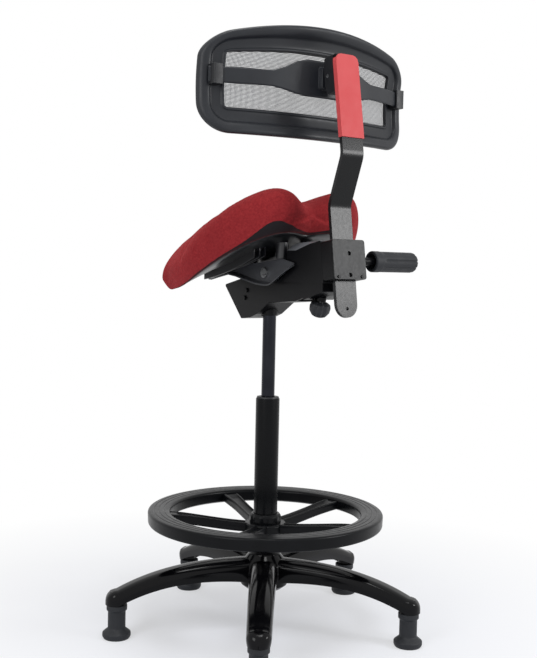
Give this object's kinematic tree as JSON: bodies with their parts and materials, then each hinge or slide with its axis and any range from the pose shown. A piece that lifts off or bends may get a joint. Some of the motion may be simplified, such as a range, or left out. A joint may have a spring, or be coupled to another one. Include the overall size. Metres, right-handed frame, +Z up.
{
  "type": "perch stool",
  "caption": "Tall perch stool with a star base on fixed glides, a height-adjustable foot ring, a gas lift, a tilting saddle seat and a mesh backrest clamped on a bent flat bar.",
  "frame": {"origin": "on the floor, at the centre of the footprint of the five glides; the column's axis stands 29.85 mm behind it, at +Y", "axes": "+Z up; the sitter faces -Y, and the sitter's left is +X"},
  "size_m": [0.6524, 0.6231, 1.2255],
  "materials": {
    "cast_black": "gloss black powder coat on die-cast aluminium",
    "steel_black": "satin black paint on pressed steel",
    "chrome_black": "dark nitrided steel, half gloss",
    "steel_bright": "zinc-plated steel",
    "moulded_black": "black moulded nylon, fine grain",
    "rubber_black": "soft black grip and foot material",
    "fabric_red": "plain woven dark red upholstery",
    "vinyl_red": "light red slip-on cover",
    "mesh_grey": "light grey stretched mesh",
    "brass": "plain brass pad"
  },
  "bodies": {
    "base": {"star_base": "cast_black", "glide_1": "rubber_black", "glide_2": "rubber_black", "glide_3": "rubber_black", "glide_4": "rubber_black", "glide_5": "rubber_black", "glide_stem_1": "steel_bright", "glide_stem_2": "steel_bright", "glide_stem_3": "steel_bright", "glide_stem_4": "steel_bright", "glide_stem_5": "steel_bright", "column_tube": "steel_black", "guide_bush": "moulded_black", "thrust_bearing": "steel_bright", "retaining_clip": "steel_bright"},
    "foot_ring": {"footring": "moulded_black", "footring_collet": "moulded_black"},
    "lock_collar": {"footring_lock_collar": "moulded_black"},
    "spindle": {"piston_rod": "steel_bright"},
    "lift": {"gas_cylinder": "chrome_black", "mechanism_housing": "steel_black", "taper_socket": "steel_black", "pivot_pin": "steel_bright", "pivot_nut": "steel_bright"},
    "height_handle": {"height_lever": "steel_bright", "height_lever_paddle": "moulded_black"},
    "valve": {"valve_pin": "steel_bright"},
    "tilt_handle": {"tilt_lever": "moulded_black"},
    "seat": {"seat_frame": "steel_black", "seat_pan": "moulded_black", "seat_cushion": "fabric_red", "seat_bolt_1": "steel_bright", "seat_bolt_2": "steel_bright", "seat_bolt_3": "steel_bright", "seat_bolt_4": "steel_bright"},
    "arm": {"back_arm": "steel_black", "arm_gusset": "steel_black", "clamp_block": "steel_black", "clamp_plate": "steel_black", "plate_screw_1": "steel_black", "plate_screw_2": "steel_black"},
    "knob": {"angle_knob": "rubber_black", "angle_screw": "steel_bright"},
    "pad": {"pressure_pad": "brass"},
    "grip": {"clamp_screw": "steel_black", "clamp_grip": "rubber_black"},
    "bar": {"back_bar": "steel_black", "pivot_block": "moulded_black", "backrest_pin": "steel_bright", "block_screw_1": "steel_bright", "block_screw_2": "steel_bright", "bar_cover": "vinyl_red"},
    "backrest": {"backrest_bracket": "moulded_black", "backrest_frame": "moulded_black", "bracket_clip_left": "moulded_black", "bracket_clip_right": "moulded_black", "mesh_panel": "mesh_grey"}
  },
  "joints": [
    {"name": "foot_ring_height", "type": "slide", "parent": "base", "child": "foot_ring", "axis": [0, 0, 1], "range_m": [0, 0.15]},
    {"name": "lock_collar_turn", "type": "hinge", "parent": "foot_ring", "child": "lock_collar", "pos_m": [0, 0.02985, 0.235], "axis": [0, 0, 1], "range_deg": [0, 60]},
    {"name": "seat_swivel", "type": "hinge", "parent": "base", "child": "spindle", "pos_m": [0, 0.02985, 0.3], "axis": [0, 0, 1], "continuous": true},
    {"name": "seat_height", "type": "slide", "parent": "spindle", "child": "lift", "axis": [0, 0, 1], "range_m": [-0.16, 0.06]},
    {"name": "height_lever_lift", "type": "hinge", "parent": "lift", "child": "height_handle", "pos_m": [-0.0305, 0.02385, 0.713], "axis": [0, 1, 0], "range_deg": [0, 5], "stiffness_Nm_per_rad": 2, "springref_deg": -8.59},
    {"name": "valve_press", "type": "slide", "parent": "lift", "child": "valve", "axis": [0, 0, 1], "range_m": [-0.003, 0]},
    {"name": "tilt_lever_turn", "type": "hinge", "parent": "lift", "child": "tilt_handle", "pos_m": [-0.03, -0.01815, 0.712], "axis": [1, 0, 0], "range_deg": [-12, 12]},
    {"name": "seat_tilt", "type": "hinge", "parent": "lift", "child": "seat", "pos_m": [0, 0.07585, 0.752], "axis": [1, 0, 0], "range_deg": [-4, 8]},
    {"name": "back_recline", "type": "hinge", "parent": "lift", "child": "arm", "pos_m": [0, 0.07585, 0.752], "axis": [-1, 0, 0], "range_deg": [0, 12]},
    {"name": "angle_knob_turn", "type": "hinge", "parent": "arm", "child": "knob", "pos_m": [0, 0.20585, 0.697], "axis": [0, 0.2756, 0.9613], "range_deg": [0, 360]},
    {"name": "pad_release", "type": "slide", "parent": "arm", "child": "pad", "axis": [-1, 0, 0], "range_m": [0, 0.003]},
    {"name": "clamp_grip_turn", "type": "hinge", "parent": "pad", "child": "grip", "pos_m": [-0.1, 0.27085, 0.778], "axis": [1, 0, 0], "range_deg": [0, 540]},
    {"name": "backrest_height", "type": "slide", "parent": "arm", "child": "bar", "axis": [0, -0.1426, 0.9898], "range_m": [-0.045, 0.05]},
    {"name": "backrest_tilt", "type": "hinge", "parent": "bar", "child": "backrest", "pos_m": [0, 0.24085, 1.127], "axis": [1, 0, 0], "range_deg": [-8, 8]}
  ],
  "couplings": [
    {"joint": "valve_press", "follows": "height_lever_lift", "m_per_rad": -0.0305},
    {"joint": "pad_release", "follows": "clamp_grip_turn", "m_per_rad": 0.00031831}
  ]
}
